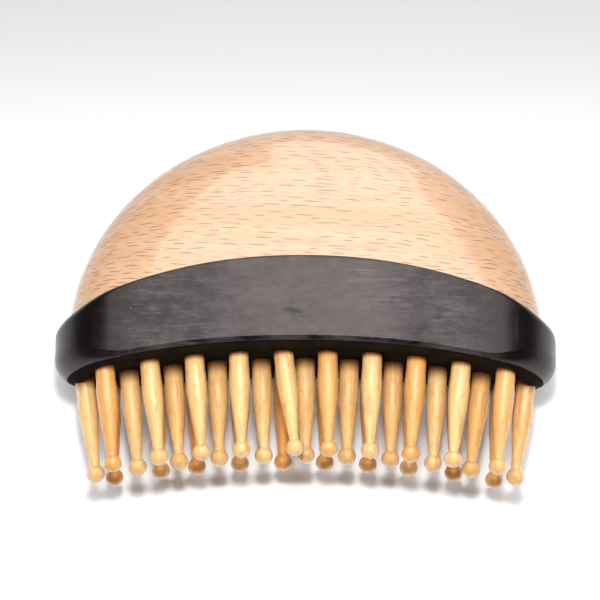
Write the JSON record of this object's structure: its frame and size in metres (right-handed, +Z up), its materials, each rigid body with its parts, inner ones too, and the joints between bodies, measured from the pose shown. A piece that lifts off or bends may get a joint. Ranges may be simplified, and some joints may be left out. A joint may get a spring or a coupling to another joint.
{
  "type": "scalp massager brush",
  "caption": "Palm-held scalp massager brush: half-moon wooden handle, rubber boot and staggered rows of sprung ball-tipped wooden pins, lying on its back.",
  "frame": {"origin": "middle of the bottom face of the bounding box, with the brush lying on its back on a level surface", "axes": "+X along the width of the brush, +Y from the pins to the top of the dome, +Z up, out of the front face"},
  "size_m": [0.0944, 0.0686, 0.033],
  "materials": {
    "beech": "satin lacquered beech with short dark pore flecks",
    "rubber": "matt dark brown moulded rubber with a pale bloom",
    "pin_wood": "polished pale turned wood, tone varies from pin to pin"
  },
  "bodies": {
    "brush_body": {"handle": "beech", "cushion": "rubber"},
    "pin_front_01": {"pin_front_01": "pin_wood"},
    "pin_front_02": {"pin_front_02": "pin_wood"},
    "pin_front_03": {"pin_front_03": "pin_wood"},
    "pin_front_04": {"pin_front_04": "pin_wood"},
    "pin_front_05": {"pin_front_05": "pin_wood"},
    "pin_front_06": {"pin_front_06": "pin_wood"},
    "pin_front_07": {"pin_front_07": "pin_wood"},
    "pin_front_08": {"pin_front_08": "pin_wood"},
    "pin_front_09": {"pin_front_09": "pin_wood"},
    "pin_front_10": {"pin_front_10": "pin_wood"},
    "pin_middle_01": {"pin_middle_01": "pin_wood"},
    "pin_middle_02": {"pin_middle_02": "pin_wood"},
    "pin_middle_03": {"pin_middle_03": "pin_wood"},
    "pin_middle_04": {"pin_middle_04": "pin_wood"},
    "pin_middle_05": {"pin_middle_05": "pin_wood"},
    "pin_middle_06": {"pin_middle_06": "pin_wood"},
    "pin_middle_07": {"pin_middle_07": "pin_wood"},
    "pin_middle_08": {"pin_middle_08": "pin_wood"},
    "pin_middle_09": {"pin_middle_09": "pin_wood"},
    "pin_middle_10": {"pin_middle_10": "pin_wood"},
    "pin_middle_11": {"pin_middle_11": "pin_wood"},
    "pin_back_01": {"pin_back_01": "pin_wood"},
    "pin_back_02": {"pin_back_02": "pin_wood"},
    "pin_back_03": {"pin_back_03": "pin_wood"},
    "pin_back_04": {"pin_back_04": "pin_wood"},
    "pin_back_05": {"pin_back_05": "pin_wood"},
    "pin_back_06": {"pin_back_06": "pin_wood"},
    "pin_back_07": {"pin_back_07": "pin_wood"},
    "pin_back_08": {"pin_back_08": "pin_wood"},
    "pin_back_09": {"pin_back_09": "pin_wood"},
    "pin_back_10": {"pin_back_10": "pin_wood"}
  },
  "joints": [
    {"name": "pin_front_01_press", "type": "slide", "parent": "brush_body", "child": "pin_front_01", "axis": [-0.0987, 0.9951, 0], "range_m": [0, 0.0025], "stiffness_N_per_m": 500},
    {"name": "pin_front_02_press", "type": "slide", "parent": "brush_body", "child": "pin_front_02", "axis": [-0.1164, 0.9932, 0], "range_m": [0, 0.0025], "stiffness_N_per_m": 500},
    {"name": "pin_front_03_press", "type": "slide", "parent": "brush_body", "child": "pin_front_03", "axis": [-0.0907, 0.9959, 0], "range_m": [0, 0.0025], "stiffness_N_per_m": 500},
    {"name": "pin_front_04_press", "type": "slide", "parent": "brush_body", "child": "pin_front_04", "axis": [-0.0388, 0.9992, 0], "range_m": [0, 0.0025], "stiffness_N_per_m": 500},
    {"name": "pin_front_05_press", "type": "slide", "parent": "brush_body", "child": "pin_front_05", "axis": [-0.126, 0.992, 0], "range_m": [0, 0.0025], "stiffness_N_per_m": 500},
    {"name": "pin_front_06_press", "type": "slide", "parent": "brush_body", "child": "pin_front_06", "axis": [-0.0133, 0.9999, 0], "range_m": [0, 0.0025], "stiffness_N_per_m": 500},
    {"name": "pin_front_07_press", "type": "slide", "parent": "brush_body", "child": "pin_front_07", "axis": [0.0213, 0.9998, 0], "range_m": [0, 0.0025], "stiffness_N_per_m": 500},
    {"name": "pin_front_08_press", "type": "slide", "parent": "brush_body", "child": "pin_front_08", "axis": [0.0646, 0.9979, 0], "range_m": [0, 0.0025], "stiffness_N_per_m": 500},
    {"name": "pin_front_09_press", "type": "slide", "parent": "brush_body", "child": "pin_front_09", "axis": [0.0903, 0.9959, 0], "range_m": [0, 0.0025], "stiffness_N_per_m": 500},
    {"name": "pin_front_10_press", "type": "slide", "parent": "brush_body", "child": "pin_front_10", "axis": [0.09, 0.9959, 0], "range_m": [0, 0.0025], "stiffness_N_per_m": 500},
    {"name": "pin_middle_01_press", "type": "slide", "parent": "brush_body", "child": "pin_middle_01", "axis": [-0.1375, 0.9905, 0], "range_m": [0, 0.0025], "stiffness_N_per_m": 500},
    {"name": "pin_middle_02_press", "type": "slide", "parent": "brush_body", "child": "pin_middle_02", "axis": [-0.1119, 0.9937, 0], "range_m": [0, 0.0025], "stiffness_N_per_m": 500},
    {"name": "pin_middle_03_press", "type": "slide", "parent": "brush_body", "child": "pin_middle_03", "axis": [-0.0775, 0.997, 0], "range_m": [0, 0.0025], "stiffness_N_per_m": 500},
    {"name": "pin_middle_04_press", "type": "slide", "parent": "brush_body", "child": "pin_middle_04", "axis": [-0.0342, 0.9994, 0], "range_m": [0, 0.0025], "stiffness_N_per_m": 500},
    {"name": "pin_middle_05_press", "type": "slide", "parent": "brush_body", "child": "pin_middle_05", "axis": [-0.0346, 0.9994, 0], "range_m": [0, 0.0025], "stiffness_N_per_m": 500},
    {"name": "pin_middle_06_press", "type": "slide", "parent": "brush_body", "child": "pin_middle_06", "axis": [-0.0087, 1, 0], "range_m": [0, 0.0025], "stiffness_N_per_m": 500},
    {"name": "pin_middle_07_press", "type": "slide", "parent": "brush_body", "child": "pin_middle_07", "axis": [0.0258, 0.9997, 0], "range_m": [0, 0.0025], "stiffness_N_per_m": 500},
    {"name": "pin_middle_08_press", "type": "slide", "parent": "brush_body", "child": "pin_middle_08", "axis": [0.0342, 0.9994, 0], "range_m": [0, 0.0025], "stiffness_N_per_m": 500},
    {"name": "pin_middle_09_press", "type": "slide", "parent": "brush_body", "child": "pin_middle_09", "axis": [0.0513, 0.9987, 0], "range_m": [0, 0.0025], "stiffness_N_per_m": 500},
    {"name": "pin_middle_10_press", "type": "slide", "parent": "brush_body", "child": "pin_middle_10", "axis": [0.1206, 0.9927, 0], "range_m": [0, 0.0025], "stiffness_N_per_m": 500},
    {"name": "pin_middle_11_press", "type": "slide", "parent": "brush_body", "child": "pin_middle_11", "axis": [0.1202, 0.9927, 0], "range_m": [0, 0.0025], "stiffness_N_per_m": 500},
    {"name": "pin_back_01_press", "type": "slide", "parent": "brush_body", "child": "pin_back_01", "axis": [-0.0813, 0.9967, 0], "range_m": [0, 0.0025], "stiffness_N_per_m": 500},
    {"name": "pin_back_02_press", "type": "slide", "parent": "brush_body", "child": "pin_back_02", "axis": [-0.1077, 0.9942, 0], "range_m": [0, 0.0025], "stiffness_N_per_m": 500},
    {"name": "pin_back_03_press", "type": "slide", "parent": "brush_body", "child": "pin_back_03", "axis": [-0.021, 0.9998, 0], "range_m": [0, 0.0025], "stiffness_N_per_m": 500},
    {"name": "pin_back_04_press", "type": "slide", "parent": "brush_body", "child": "pin_back_04", "axis": [-0.0126, 0.9999, 0], "range_m": [0, 0.0025], "stiffness_N_per_m": 500},
    {"name": "pin_back_05_press", "type": "slide", "parent": "brush_body", "child": "pin_back_05", "axis": [-0.0042, 1, 0], "range_m": [0, 0.0025], "stiffness_N_per_m": 500},
    {"name": "pin_back_06_press", "type": "slide", "parent": "brush_body", "child": "pin_back_06", "axis": [0.0216, 0.9998, 0], "range_m": [0, 0.0025], "stiffness_N_per_m": 500},
    {"name": "pin_back_07_press", "type": "slide", "parent": "brush_body", "child": "pin_back_07", "axis": [0.03, 0.9995, 0], "range_m": [0, 0.0025], "stiffness_N_per_m": 500},
    {"name": "pin_back_08_press", "type": "slide", "parent": "brush_body", "child": "pin_back_08", "axis": [0.0646, 0.9979, 0], "range_m": [0, 0.0025], "stiffness_N_per_m": 500},
    {"name": "pin_back_09_press", "type": "slide", "parent": "brush_body", "child": "pin_back_09", "axis": [0.0555, 0.9985, 0], "range_m": [0, 0.0025], "stiffness_N_per_m": 500},
    {"name": "pin_back_10_press", "type": "slide", "parent": "brush_body", "child": "pin_back_10", "axis": [0.09, 0.9959, 0], "range_m": [0, 0.0025], "stiffness_N_per_m": 500}
  ]
}
